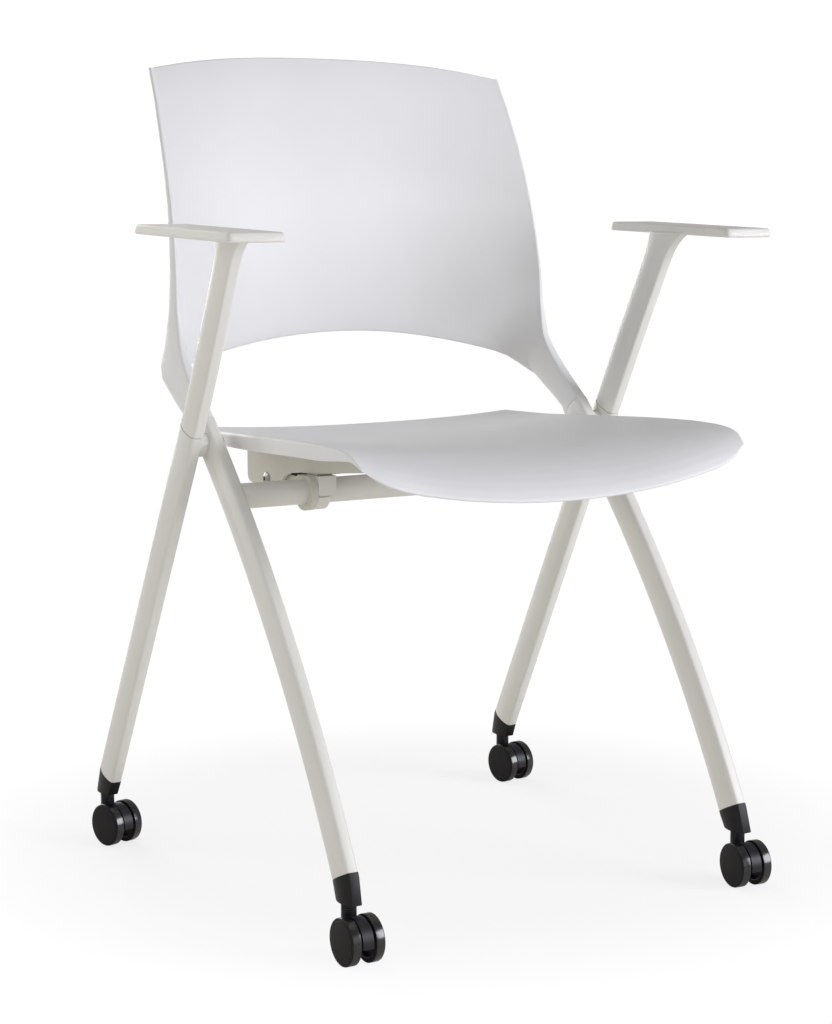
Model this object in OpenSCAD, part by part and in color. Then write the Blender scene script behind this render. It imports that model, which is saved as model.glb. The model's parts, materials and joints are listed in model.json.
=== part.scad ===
// Nesting chair with a flip-up seat on a crossed-leg frame, with twin-wheel casters. Millimetres.
// The sitter faces -Y, +Z is up, and the sitter's right hand is on the -X side.
// Fore-and-aft places are measured from the middle of the wheelbase, +Y towards the back, and the
// whole chair is then moved so that the middle of its outline on the floor is the origin.

/* [Frame] */
// Distance between the front and the rear caster stems
wheelbase = 469; // [440:1:500]
// Distance of the stems beyond the leg axes at the foot seams
foot_reach = 8; // [5:0.5:11]
// Height of the foot seams
foot_seam_z = 75; // [70:1:80]
// Place of the hub, where the legs cross, behind the middle of the wheelbase
hub_y = 34.5; // [25:0.5:40]
// Height of the hub
hub_z = 444; // [430:1:460]
// Distance of the front legs' planes outside the seat's widest part
leg_clear = 6.7; // [5:0.1:9]
// Distance between the plane of a front leg and that of its rear leg, at the hub
plane_step = 25; // [24:0.5:32]
// Outward lean of the rear legs towards the floor, in degrees
rear_splay = 0.6; // [0:0.1:1]
// Radius of the front legs' bow
front_leg_r = 1490; // [1300:10:2500]
// Length of front leg above the hub
front_stub = 22; // [20:1:28]
// Length of rear leg above the hub
rear_stub = 17; // [17:1:24]

/* [Leg tube] */
// Depth of the leg tube, front to back
leg_depth = 31.5; // [28:0.5:34]
// Greatest width of the leg tube
leg_width = 19; // [16:0.5:21]
// Width of the flat faces on the front and back of the leg tube
leg_face = 10.5; // [8:0.5:13]
// Rounding of the leg tube's corners
leg_corner = 2; // [1:0.1:3]
// Wall of the leg tube
leg_wall = 2; // [1.2:0.1:2.5]

/* [Cross tube and hinge] */
// Diameter of the tube between the front legs
tube_d = 25; // [22:0.5:28]
// Wall of the cross tube
tube_wall = 2; // [1.5:0.1:3]
// Place of the cross tube's axis, fore and aft
tube_y = -12; // [-16:1:-8]
// Height of the cross tube's axis
tube_z = 397.2; // [394:0.1:399]
// Place of the seat's pivot, fore and aft
pivot_y = 79; // [74:1:84]
// Height of the seat's pivot
pivot_z = 400; // [397:1:403]
// Diameter of the pivot bolt's shank
pivot_d = 8; // [6:0.5:10]
// Wall of the collar round the cross tube
collar_wall = 6.4; // [4:0.1:8]
// Width of the collar along the cross tube
collar_w = 7.2; // [6:0.1:9]

/* [Seat] */
// Thickness of the seat shell
seat_t = 4.5; // [3.5:0.1:5.5]
// Half of the seat's greatest width, at its front
seat_half_w = 218; // [210:1:222]
// Place of the seat's rear edge
seat_rear_y = 125; // [115:1:130]
// Distance from the middle of the wheelbase to the seat's front edge
seat_front_y = 260; // [250:1:275]
// Height of the seat's side edge at the front bend
seat_edge_z = 462; // [458:1:468]
// Drop of the front edge below the side edge, in the middle
seat_drop = 54; // [40:0.5:60]
// Depth of the dish below the side edges
seat_dish = 16; // [8:1:18]
// Height of the skirt along the sides
skirt_h = 15; // [12:1:18]
// Rounding of the seat's side edge
seat_edge_r = 3; // [2.5:0.5:5]

/* [Seat rails] */
// Distance of the rails' outer faces from the middle of the chair
rail_x = 140; // [136:1:146]
// Width of the rail channel
rail_w = 30; // [28:1:34]
// Wall of the rail channel
rail_wall = 3; // [2:0.5:4]

/* [Back] */
// Height of the top edge's middle above the hub
back_rise = 388.5; // [360:1:410]
// Distance of the top edge's middle behind the hub
back_reach = 175.5; // [160:0.5:190]
// Thickness of the back shell
back_t = 4.5; // [3.5:0.1:5.5]
// Height of the middle of the arch above the hub
arch_rise = 97.8; // [85:0.2:110]
// Drop of the arch from its middle to the arms
arch_drop = 52.5; // [40:0.5:60]
// Drop of the top edge from its middle to its corners
top_drop = 16.5; // [8:0.5:24]

/* [Armrests] */
// Length of the armrest pad along its underside
pad_l = 200.5; // [180:0.5:210]
// Width of the armrest pad across its underside
pad_w = 61.5; // [52:0.5:64]
// Thickness of the armrest pad
pad_t = 9.2; // [8:0.1:12]
// Height of the pad's top at its front end
pad_front_z = 652.9; // [640:0.1:670]
// Distance of the pad's front end from the middle of the wheelbase
pad_front_y = 173; // [165:1:180]
// Slope of the pad, front end lower, in degrees
pad_slope = 1.65; // [0:0.05:3]
// Draw-in of the pad's sides from underside to top
pad_draft = 2.6; // [1:0.1:4]
// Corner radius of the pad in plan
pad_corner = 6.5; // [4:0.5:14]

/* [Casters] */
// Diameter of the caster wheels
wheel_d = 44.5; // [40:0.5:50]
// Width of one wheel
wheel_w = 10.5; // [9:0.5:11]
// Distance between the middles of a caster's two wheels
wheel_gap = 25.5; // [25:0.5:30]
// Distance of the axle ahead of the stem
trail = 15.5; // [14:0.5:18]
// Distance of the stems outside the legs' planes
stem_out = 1; // [0:0.1:2]
// Height of the underside of the feet
foot_bottom_z = 53; // [51:0.5:56]
// Diameter of the caster stem
stem_d = 11; // [10:0.5:12]
// Swivel of each caster in degrees: front right, front left, rear right, rear left
swivel = [-0.5, -6.6, 13.9, 6.1];

/* [Fits] */
// Gap between a plug and its tube and at hidden seams
fit_gap = 0.2; // [0.1:0.05:0.3]
// Open seam between a tube and the moulding plugged on it
seam_gap = 0.5; // [0.3:0.1:0.8]
// Gap between a piece that moves and what it rests on or runs past
rest_gap = 0.3; // [0.2:0.05:0.5]
// Radial clearance of a shaft in its bore
run_gap = 0.06; // [0.02:0.01:0.1]

/* [Hidden] */

frame_white = [0.86, 0.86, 0.83];
shell_white = [0.9, 0.9, 0.91];
black = [0.1, 0.1, 0.11];
steel = [0.7, 0.7, 0.72];

// Overrun of every cut past the faces that it goes through
over = 1;
// Facets of round things
$fn = 48;
// Facets of a full turn of the front legs' bow
bow_fn = 720;

// Origin of the finished chair, from the reach of its front wheels and of its rear feet
foot_bottom_depth = 29.5;
foot_bottom_w = 18;
front_limit = -wheelbase / 2 - trail - wheel_d / 2;
rear_limit = wheelbase / 2 + foot_bottom_depth / 2;
origin_y = -(front_limit + rear_limit) / 2;

leg_spread = wheelbase - 2 * foot_reach;
front_plane = seat_half_w + leg_clear;
rear_plane = front_plane + plane_step;
rear_lean = atan((leg_spread / 2 - hub_y) / (hub_z - foot_seam_z));

// Bow of the front legs: the centre of the circle through the hub and the foot seam
bow_mid = [(hub_y - leg_spread / 2) / 2, (hub_z + foot_seam_z) / 2];
bow_chord = [hub_y + leg_spread / 2, hub_z - foot_seam_z];
bow_h = sqrt(front_leg_r * front_leg_r - bow_chord * bow_chord / 4);
bow_centre = bow_mid + [bow_chord[1], -bow_chord[0]] * bow_h / norm(bow_chord);
function bow_angle(y, z) = atan2(z - bow_centre[1], y - bow_centre[0]);
function turn_of(len) = len / front_leg_r * 180 / PI;
bow_foot = bow_angle(-leg_spread / 2, foot_seam_z);
bow_hub = bow_angle(hub_y, hub_z);
bow_top = bow_hub - turn_of(front_stub);

// Smooth curve through the rows of a table at x: column c against column 0, rows in rising order
function row_below(t, x, i = 0) = i >= len(t) - 2 || t[i + 1][0] >= x ? i : row_below(t, x, i + 1);
function slope_at(t, c, i) =
  i <= 0 ? (t[1][c] - t[0][c]) / (t[1][0] - t[0][0]) :
  i >= len(t) - 1 ? (t[i][c] - t[i - 1][c]) / (t[i][0] - t[i - 1][0]) :
  (t[i + 1][c] - t[i - 1][c]) / (t[i + 1][0] - t[i - 1][0]);
function hermite(a, b, ma, mb, h, q) =
  a * (1 + 2 * q) * (1 - q) * (1 - q) + b * q * q * (3 - 2 * q)
  + h * q * (1 - q) * (ma * (1 - q) - mb * q);
function smooth_in(t, c, x, i) =
  let (h = t[i + 1][0] - t[i][0], q = (x - t[i][0]) / h)
  hermite(t[i][c], t[i + 1][c], slope_at(t, c, i), slope_at(t, c, i + 1), h, q);
function smooth_at(t, c, x) =
  let (v = max(t[0][0], min(t[len(t) - 1][0], x))) smooth_in(t, c, v, row_below(t, v));

// Outline of the leg tube: flat faces front and back, bowed sides, rounded corners.
// Each point is [along the depth, across the width], in turn round the tube.
side_steps = 8;
corner_steps = 3;
function bow_across(u, d, w, f) =
  let (h = (w - f) / 2, r = (d * d / 4 + h * h) / (2 * h)) w / 2 - r + sqrt(r * r - u * u);
function bend(a, b, c, q) = a * (1 - q) * (1 - q) + b * 2 * q * (1 - q) + c * q * q;
function half_outline(d, w, f, c) =
  let (e = d / 2 - c, side = bow_across(e, d, w, f))
  concat(
    [for (k = [0 : corner_steps]) bend([d / 2, f / 2 - c], [d / 2, f / 2], [e, side], k / corner_steps)],
    [for (k = [1 : side_steps - 1]) let (u = e - 2 * e * k / side_steps) [u, bow_across(u, d, w, f)]],
    [for (k = [0 : corner_steps]) bend([-e, side], [-d / 2, f / 2], [-d / 2, f / 2 - c], k / corner_steps)]
  );
function outline(d, w, f, c) =
  let (h = half_outline(d, w, f, c), n = len(h))
  concat(h, [for (k = [n - 1 : -1 : 0]) [h[k][0], -h[k][1]]]);
// The same outline drawn in by a distance all round
function drawn_in(by) =
  outline(leg_depth - 2 * by, leg_width - 2 * by, leg_face - by, min(leg_corner, leg_face / 4));

// Closed solid through rings of points that lie above each other, each ring counter-clockwise seen
// from the side of the last one. The ends are fans from each end ring's last point.
module loft(rings) {
  n = len(rings[0]);
  m = len(rings);
  points = [for (ring = rings) for (p = ring) p];
  sides = [for (i = [0 : m - 2]) for (k = [0 : n - 1]) let (a = i * n + k, b = i * n + (k + 1) % n)
    each [[a, a + n, b + n], [a, b + n, b]]];
  top = (m - 1) * n;
  ends = [for (k = [0 : n - 3]) each [[n - 1, k, k + 1], [top + n - 1, top + k + 1, top + k]]];
  polyhedron(points, concat(sides, ends), convexity = 6);
}

// Points behind a grid of points, at a thickness along the grid's own normals
function unit(v) = v / norm(v);
function grid_normal(g, i, j) =
  let (
    n = len(g), m = len(g[0]),
    along = g[min(i + 1, n - 1)][j] - g[max(i - 1, 0)][j],
    up = g[i][min(j + 1, m - 1)] - g[i][max(j - 1, 0)]
  )
  unit(cross(along, up));
function behind(g, t) =
  [for (i = [0 : len(g) - 1]) [for (j = [0 : len(g[0]) - 1]) g[i][j] - t * grid_normal(g, i, j)]];
// Rims of a sheet, rounded by half its thickness: rows that go on past the first and last rows of
// the front grid, or of the grid behind it
rim_turns = [35, 75];
function rim_point(a, b, from, turn, end) =
  let (out = unit(a - from), mid = (a + b) / 2)
  mid + (end > 0 ? a - b : b - a) / 2 * cos(turn) + out * norm(a - b) / 2 * sin(turn);
function with_rims(g, b, end) =
  let (h = end > 0 ? g : b, m = len(g[0]), r = rim_turns)
  [for (i = [0 : len(g) - 1]) concat(
    [for (k = [1 : -1 : 0]) rim_point(g[i][0], b[i][0], g[i][1], r[k], end)],
    h[i],
    [for (k = [0 : 1]) rim_point(g[i][m - 1], b[i][m - 1], g[i][m - 2], r[k], end)]
  )];
// Closed sheet between a grid of points and the grid behind it
module sheet(g, b) {
  n = len(g);
  m = len(g[0]);
  s = n * m;
  points = concat([for (row = g) for (p = row) p], [for (row = b) for (p = row) p]);
  cells = [for (i = [0 : n - 2]) for (j = [0 : m - 2]) i * m + j];
  faces_front = [for (a = cells) each [[a, a + 1, a + m], [a + 1, a + m + 1, a + m]]];
  faces_behind = [for (a = cells) each [[s + a, s + a + m, s + a + 1], [s + a + 1, s + a + m, s + a + m + 1]]];
  rim = concat(
    [for (j = [0 : m - 2]) [j, j + 1]],
    [for (i = [0 : n - 2]) [i * m + m - 1, (i + 1) * m + m - 1]],
    [for (j = [m - 1 : -1 : 1]) [(n - 1) * m + j, (n - 1) * m + j - 1]],
    [for (i = [n - 1 : -1 : 1]) [i * m, (i - 1) * m]]
  );
  faces_rim = [for (e = rim) each [[e[0], s + e[0], e[1]], [e[1], s + e[0], s + e[1]]]];
  polyhedron(points, concat(faces_front, faces_behind, faces_rim), convexity = 8);
}

module tube_x(r, x0, x1) {
  translate([x0, 0, 0]) rotate([0, 90, 0]) cylinder(r = r, h = x1 - x0);
}

// Frame

module bowed(profile, from, to) {
  translate([0, bow_centre[0], bow_centre[1]])
    rotate([90, 0, 90])
      rotate([0, 0, from])
        rotate_extrude(angle = to - from, $fn = bow_fn)
          translate([front_leg_r, 0])
            polygon(profile);
}

module on_rear_axis(side, from, len) {
  translate([0, hub_y, hub_z])
    rotate([rear_lean, -side * rear_splay, 0])
      translate([0, 0, from])
        linear_extrude(len) rotate(90) children();
}

hub_bolt_d = 8;
module hub_hole() {
  translate([0, hub_y, hub_z]) tube_x(hub_bolt_d / 2 + fit_gap, -leg_width, leg_width);
}
module hub_hole_inner() {
  translate([0, hub_y, hub_z]) tube_x(hub_bolt_d / 2 + fit_gap, -leg_width, 0);
}

module front_leg(side) {
  color(frame_white)
    translate([side * front_plane, 0, 0])
      difference() {
        bowed(drawn_in(0), bow_top, bow_foot);
        bowed(drawn_in(leg_wall), bow_top - turn_of(over), bow_foot + turn_of(over));
        hub_hole();
      }
}

rear_leg_down = (hub_z - foot_seam_z) / cos(rear_lean);
module rear_leg(side) {
  color(frame_white)
    translate([side * rear_plane, 0, 0])
      difference() {
        on_rear_axis(side, -rear_leg_down, rear_leg_down + rear_stub) polygon(drawn_in(0));
        on_rear_axis(side, -rear_leg_down - over, rear_leg_down + rear_stub + 2 * over) polygon(drawn_in(leg_wall));
        scale([side, 1, 1]) hub_hole_inner();
      }
}

module cross_tube() {
  color(frame_white)
    difference() {
      translate([0, tube_y, tube_z]) tube_x(tube_d / 2, -front_plane, front_plane);
      translate([0, tube_y, tube_z])
        tube_x(tube_d / 2 - tube_wall, -front_plane - over, front_plane + over);
      for (side = [-1, 1])
        translate([side * front_plane, 0, 0])
          bowed(drawn_in(-fit_gap / 2), bow_top, bow_foot);
    }
}

spacer_d = 23.4;
module hub_spacer(side) {
  gap = plane_step - leg_width;
  color(frame_white)
    difference() {
      translate([side * front_plane, hub_y, hub_z])
        scale([side, 1, 1])
          tube_x(spacer_d / 2, leg_width / 4, plane_step - leg_width / 4);
      translate([side * front_plane, hub_y, hub_z])
        scale([side, 1, 1])
          tube_x(hub_bolt_d / 2 + fit_gap, 0, gap + leg_width);
      translate([side * front_plane, 0, 0]) bowed(drawn_in(-fit_gap / 2), bow_top - turn_of(spacer_d), bow_foot);
      translate([side * rear_plane, 0, 0])
        on_rear_axis(side, -rear_leg_down, rear_leg_down + spacer_d * 2) polygon(drawn_in(-fit_gap / 2));
    }
}

hub_head_d = 16;
hub_head_h = 3.4;
hub_nut_w = 13;
hub_nut_h = 6.5;
nut_reach = hub_nut_w / 2 / cos(30) + fit_gap;
hub_bolt_end = plane_step - 2 * fit_gap
  + bow_across(nut_reach, leg_depth - 2 * leg_wall, leg_width - 2 * leg_wall, leg_face - leg_wall);
module hub_bolts() {
  color(steel)
    for (side = [-1, 1])
      translate([side * front_plane, hub_y, hub_z])
        scale([side, 1, 1]) {
          rotate([0, -90, 0])
            translate([0, 0, leg_width / 2 + fit_gap])
              rotate_extrude()
                difference() {
                  hull() {
                    square([hub_head_d / 2, hub_head_h / 3]);
                    square([hub_head_d / 4, hub_head_h]);
                  }
                  translate([0, hub_head_h / 2]) square([hub_bolt_d / 4, hub_head_h]);
                }
          tube_x(hub_bolt_d / 2, -leg_width / 2 - fit_gap, hub_bolt_end);
        }
}

module hub_nut_shape(gap) {
  translate([hub_bolt_end - hub_nut_h - gap, 0, 0])
    rotate([0, 90, 0])
      rotate([0, 0, 30])
        cylinder(r = hub_nut_w / 2 / cos(30) + gap, h = hub_nut_h + 2 * gap, $fn = 6);
}
module hub_nuts() {
  color(steel)
    for (side = [-1, 1])
      translate([side * front_plane, hub_y, hub_z])
        scale([side, 1, 1])
          difference() {
            hub_nut_shape(0);
            tube_x(hub_bolt_d / 2 + run_gap, 0, plane_step + leg_width);
          }
}

// Feet

foot_plug = 22;
socket_depth = 23;
foot_elbow = 4.5;
foot_corner = 1;
function foot_profile() = outline(leg_depth, leg_width, leg_face, foot_corner);
splay_out = (hub_z - foot_seam_z) * tan(rear_splay);
module foot_body(at, plane, side) {
  stem_plane = caster_plane(at);
  difference() {
    union() {
      hull() {
        translate([side * plane, 0, 0])
          if (at < 0)
            bowed(foot_profile(), bow_foot + turn_of(fit_gap), bow_foot + turn_of(fit_gap + foot_elbow));
          else
            on_rear_axis(side, -rear_leg_down - fit_gap - foot_elbow, foot_elbow) polygon(foot_profile());
        translate([side * stem_plane, at * wheelbase / 2, foot_bottom_z])
          linear_extrude(foot_corner)
            rotate(90)
              polygon(outline(foot_bottom_depth, foot_bottom_w, leg_face, foot_corner));
      }
      foot_plug_shape(at, plane, side);
    }
    translate([side * stem_plane, at * wheelbase / 2, foot_bottom_z - over])
      cylinder(r = stem_d / 2 + run_gap, h = socket_depth + over);
  }
}
// Plug in the end of the leg, along the leg's own line
module foot_plug_shape(at, plane, side) {
  shape = drawn_in(leg_wall + fit_gap);
  if (at < 0)
    translate([side * plane, 0, 0]) bowed(shape, bow_foot - turn_of(foot_plug), bow_foot + turn_of(over));
  else
    translate([side * plane, 0, 0])
      on_rear_axis(side, -rear_leg_down - over, foot_plug + over) polygon(shape);
}
module foot_front(side) {
  color(black) foot_body(-1, front_plane, side);
}
module foot_rear(side) {
  color(black) foot_body(1, rear_plane, side);
}

// Armrests

post_top_z = pad_front_z - pad_t / 2;
// Flare of the post under the pad: share of the flare's height, forward and rearward growth as shares
flare_h = 30;
flare_front = 15;
flare_rear = 6;
post_corner = 1.4;
post_steps = 4;
flare_shares = [
  [0, 0, 0], [0.35, 0.08, 0.1], [0.6, 0.26, 0.35], [0.8, 0.55, 0.6], [0.92, 0.85, 0.75], [1, 1.1, 1]
];
plug_below_hub = 26;
post_out = 5;
post_back = 2;
function post_ring(side, z, front, rear) =
  let (
    up = max(0, z - hub_z - leg_depth) / (post_top_z - hub_z - leg_depth),
    aside = side * (post_out * pow(up, 1.5) - (z - hub_z) * tan(rear_splay)),
    stretch = 1 / cos(rear_lean),
    mid = hub_y - (z - hub_z) * tan(rear_lean) + post_back * pow(up, 1.5),
    d = leg_depth * stretch + front + rear
  )
  [for (p = outline(d, leg_width, leg_face, post_corner))
    [aside - p[1], mid + p[0] + (rear - front) / 2, z]];
module pad() {
  translate([0, -pad_front_y, pad_front_z - pad_t])
    rotate([pad_slope, 0, 0])
      intersection() {
        linear_extrude(pad_t)
          translate([0, pad_l / 2])
            rounded_rect(pad_w, pad_l, pad_corner);
        translate([0, pad_l / 2, 0])
          rotate([90, 0, 0])
            linear_extrude(pad_l + 2 * over, center = true)
              drafted(pad_w, pad_t, pad_draft);
        translate([0, pad_l / 2, 0])
          rotate([90, 0, 90])
            linear_extrude(pad_w + 2 * over, center = true)
              drafted(pad_l, pad_t, pad_draft);
      }
}
module rounded_rect(w, l, r) {
  hull()
    for (x = [-1, 1])
      for (y = [-1, 1])
        translate([x * (w / 2 - r), y * (l / 2 - r)]) circle(r = r);
}
// Cross-section of the pad: a thin vertical rim below, then sides that draw in to the top
module drafted(w, h, by) {
  rim = h / 6;
  polygon([
    [-w / 2 + rim, 0], [w / 2 - rim, 0], [w / 2, rim], [w / 2 - by, h - rim / 2], [w / 2 - by - rim, h],
    [-w / 2 + by + rim, h], [-w / 2 + by, h - rim / 2], [-w / 2, rim]
  ]);
}
// Distance of the pad's inner edge inboard of the post's middle
pad_inset = 1.5;
module armrest(side) {
  color(frame_white)
    difference() {
      union() {
        difference() {
          translate([side * rear_plane, 0, 0]) {
            loft(concat(
              [post_ring(side, hub_z - leg_depth, 0, 0)],
              [for (k = [0 : post_steps - 1])
                post_ring(side, hub_z + leg_depth + (post_top_z - flare_h - hub_z - leg_depth) * k / post_steps, 0, 0)],
              [for (f = flare_shares)
                post_ring(side, post_top_z - flare_h * (1 - f[0]), flare_front * f[1], flare_rear * f[2])]
            ));
            translate([side * (pad_w / 2 - pad_inset), 0, 0]) pad();
          }
          // The post ends square to the leg, at the seam
          translate([side * rear_plane, 0, 0])
            on_rear_axis(side, rear_stub + seam_gap - leg_depth * 4, leg_depth * 4)
              square([leg_depth * 3, leg_width * 2], center = true);
        }
        translate([side * rear_plane, 0, 0])
          on_rear_axis(side, -plug_below_hub, plug_below_hub + rear_stub + leg_depth)
            polygon(drawn_in(leg_wall + fit_gap));
      }
      translate([side * rear_plane, 0, 0]) scale([side, 1, 1]) hub_hole_inner();
      translate([side * front_plane, hub_y, hub_z])
        scale([side, 1, 1]) {
          hub_nut_shape(fit_gap);
          tube_x(hub_bolt_d / 2 + fit_gap, 0, hub_bolt_end + fit_gap);
        }
    }
}

// Back

// Edges of the back at heights above the hub. Columns: height share, then outer width share,
// front edge, rear edge and sheet edge as shares of the reach, and thickness as a share of the tube.
edge_shares = [
  [0.010, 1.036, -0.105, 0.160, 0.03, 1.000],
  [0.041, 1.036, -0.037, 0.212, 0.10, 1.000],
  [0.080, 1.035, 0.059, 0.352, 0.25, 1.000],
  [0.118, 1.031, 0.160, 0.490, 0.44, 0.980],
  [0.157, 1.024, 0.250, 0.610, 0.56, 0.930],
  [0.196, 1.015, 0.330, 0.618, 0.56, 0.830],
  [0.247, 1.004, 0.402, 0.585, 0.535, 0.650],
  [0.299, 0.998, 0.434, 0.555, 0.506, 0.470],
  [0.376, 0.992, 0.448, 0.536, 0.490, 0.330],
  [0.453, 0.986, 0.470, 0.545, 0.494, 0.270],
  [0.530, 0.980, 0.503, 0.566, 0.519, 0.240],
  [0.607, 0.975, 0.548, 0.595, 0.555, 0.237],
  [0.685, 0.970, 0.606, 0.642, 0.608, 0.237],
  [0.762, 0.964, 0.673, 0.703, 0.673, 0.237],
  [0.891, 0.949, 0.800, 0.830, 0.800, 0.237],
  [0.955, 0.942, 0.879, 0.907, 0.879, 0.237]
];
// Middle of the back: height share, place as a share of the reach
middle_shares = [
  [0.10, 0.775], [0.25, 0.757], [0.35, 0.748], [0.453, 0.750], [0.607, 0.782],
  [0.762, 0.852], [0.891, 0.926], [1.0, 1.0]
];
back_columns = 24;
back_rows = 13;
arch_power = 1.94;
// Share of the arch's drop that falls close to the arms, and the power of that part
arch_corner = 0.305;
arch_corner_power = 21;
top_power = 2.5;
// Power of the curve that takes the sheet round to the arms, and the row share over which it fades
arm_power = 12;
arm_fade = 0.1;

back_half_w = (front_plane + leg_width / 2) / edge_shares[0][1];
function edge_x(h) = back_half_w * smooth_at(edge_shares, 1, h);
function edge_front(h) = hub_y + back_reach * smooth_at(edge_shares, 2, h);
function edge_rear(h) = hub_y + back_reach * smooth_at(edge_shares, 3, h);
function edge_sheet(h) = hub_y + back_reach * smooth_at(edge_shares, 4, h);
function edge_thick(h) = leg_width * smooth_at(edge_shares, 5, h);
function middle_y(h) = hub_y + back_reach * smooth_at(middle_shares, 1, h);
function ease(q) = let (v = max(0, min(1, q))) v * v * (3 - 2 * v);

// Point of the sheet's front surface: s across from -1 to 1, k up from the arch to the top edge.
// Towards each arm it runs forward to the inner corner of the arm's front face, except at the arch,
// which runs into the arm's rear edge.
function back_point(s, k) =
  let (
    a = abs(s),
    drop = (1 - arch_corner) * pow(a, arch_power) + arch_corner * pow(a, arch_corner_power),
    low = (arch_rise - arch_drop * drop + back_t / 2) / back_rise,
    high = 1 - top_drop / back_rise * pow(a, top_power) - back_t / 2 / back_rise,
    h = low + (high - low) * k,
    thick = edge_thick(h),
    inner = edge_x(h) - thick * (0.5 + 0.5 * leg_face / leg_width) + fit_gap,
    end = edge_rear(h) - back_t / 2 + (edge_front(h) + fit_gap - edge_rear(h) + back_t / 2) * ease(k / arm_fade),
    bow = 2.2 + 1.6 * pow(1 - k, 2)
  )
  [
    s * inner,
    middle_y(h) - (middle_y(h) - edge_sheet(h)) * pow(a, bow) - (edge_sheet(h) - end) * pow(a, arm_power),
    hub_z + h * back_rise
  ];
// Columns and rows crowd towards the arms and towards the arch
function column_at(i) = let (u = 2 * i / back_columns - 1) u * (3 - u * u) / 2;
function row_at(j) = pow(j / back_rows, 1.4);
back_grid = [for (i = [0 : back_columns])
  [for (j = [0 : back_rows]) back_point(column_at(i), row_at(j))]];
back_behind = behind(back_grid, back_t);
function flange_ring(h, side) =
  let (
    thick = edge_thick(h), front = edge_front(h), rear = edge_rear(h),
    face = thick * leg_face / leg_width, c = min(leg_corner, face / 3)
  )
  [for (p = outline(rear - front, thick, face, c))
    [side * (edge_x(h) - thick / 2) - p[1], (front + rear) / 2 + p[0], hub_z + h * back_rise]];
back_heights = concat(
  [for (k = [0 : 7]) 0.01 + 0.028 * k],
  [for (k = [0 : 8]) 0.235 + 0.09 * k]
);

module back_shell() {
  color(shell_white)
    difference() {
      union() {
        sheet(with_rims(back_grid, back_behind, 1), with_rims(back_grid, back_behind, -1));
        for (side = [-1, 1]) {
          difference() {
            loft([for (h = back_heights) flange_ring(h, side)]);
            translate([side * front_plane, 0, 0])
              bowed(
                [
                  [-leg_depth * 2, -leg_width], [leg_depth * 2, -leg_width],
                  [leg_depth * 2, leg_width], [-leg_depth * 2, leg_width]
                ],
                bow_top - turn_of(seam_gap), bow_hub + turn_of(leg_depth)
              );
          }
          translate([side * front_plane, 0, 0])
            bowed(
              drawn_in(leg_wall + fit_gap),
              bow_top - turn_of(leg_depth / 2), bow_hub + turn_of(plug_below_hub)
            );
        }
      }
      for (side = [-1, 1]) translate([side * front_plane, 0, 0]) hub_hole();
    }
}

// Hinge between the frame and the seat

bush_wall = 2;
bush_flange = 1.5;
arm_w = rail_w - 2 * rail_wall - 2 * bush_flange - 4 * rest_gap;
arm_mid_x = rail_x - rail_w / 2;
arm_boss_r = 11;
arm_h = 17;
collar_x = rail_x + rest_gap * 2.5 + collar_w;
collar_r = tube_d / 2 + collar_wall;
module hinge_arm(side) {
  color(frame_white)
    scale([side, 1, 1])
      difference() {
        union() {
          translate([0, tube_y, tube_z])
            intersection() {
              tube_x(collar_r, collar_x - collar_w, collar_x);
              translate([collar_x - collar_w / 2, 0, tube_d / 2 + rail_wall - collar_r])
                cube([collar_w * 2, collar_r * 3, collar_r * 2], center = true);
            }
          translate([arm_mid_x - arm_w / 2, 0, 0])
            rotate([90, 0, 90])
              linear_extrude(collar_x - collar_w / 2 - arm_mid_x + arm_w / 2) arm_front();
          translate([arm_mid_x - arm_w / 2, 0, 0])
            rotate([90, 0, 90])
              linear_extrude(arm_w) arm_side();
        }
        translate([0, tube_y, tube_z])
          tube_x(tube_d / 2 + fit_gap / 2, arm_mid_x - arm_w, collar_x + over);
        translate([0, pivot_y, pivot_z])
          tube_x(pivot_d / 2 + bush_wall + run_gap, arm_mid_x - arm_w, arm_mid_x + arm_w);
      }
}
// The arm from behind the tube to the pivot, seen from the side
module arm_side() {
  polygon([
    [tube_y, tube_z - arm_h / 2], [pivot_y, pivot_z - arm_boss_r * 0.9],
    [pivot_y, pivot_z + arm_boss_r * 0.9], [tube_y, tube_z + arm_h / 2]
  ]);
  translate([pivot_y, pivot_z]) circle(r = arm_boss_r);
}
module arm_front() {
  translate([tube_y, tube_z - arm_h / 2]) square([collar_r, arm_h]);
}

module hinge_bushes() {
  color(black)
    for (side = [-1, 1])
      for (end = [-1, 1])
        translate([side * arm_mid_x, pivot_y, pivot_z])
          scale([end, 1, 1])
            difference() {
              union() {
                tube_x(pivot_d / 2 + bush_wall, rest_gap, arm_w / 2 + rest_gap);
                tube_x(pivot_d / 2 + 2 * bush_wall, arm_w / 2 + rest_gap / 2, arm_w / 2 + rest_gap / 2 + bush_flange);
              }
              tube_x(pivot_d / 2 + run_gap, 0, rail_w);
            }
}

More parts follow.
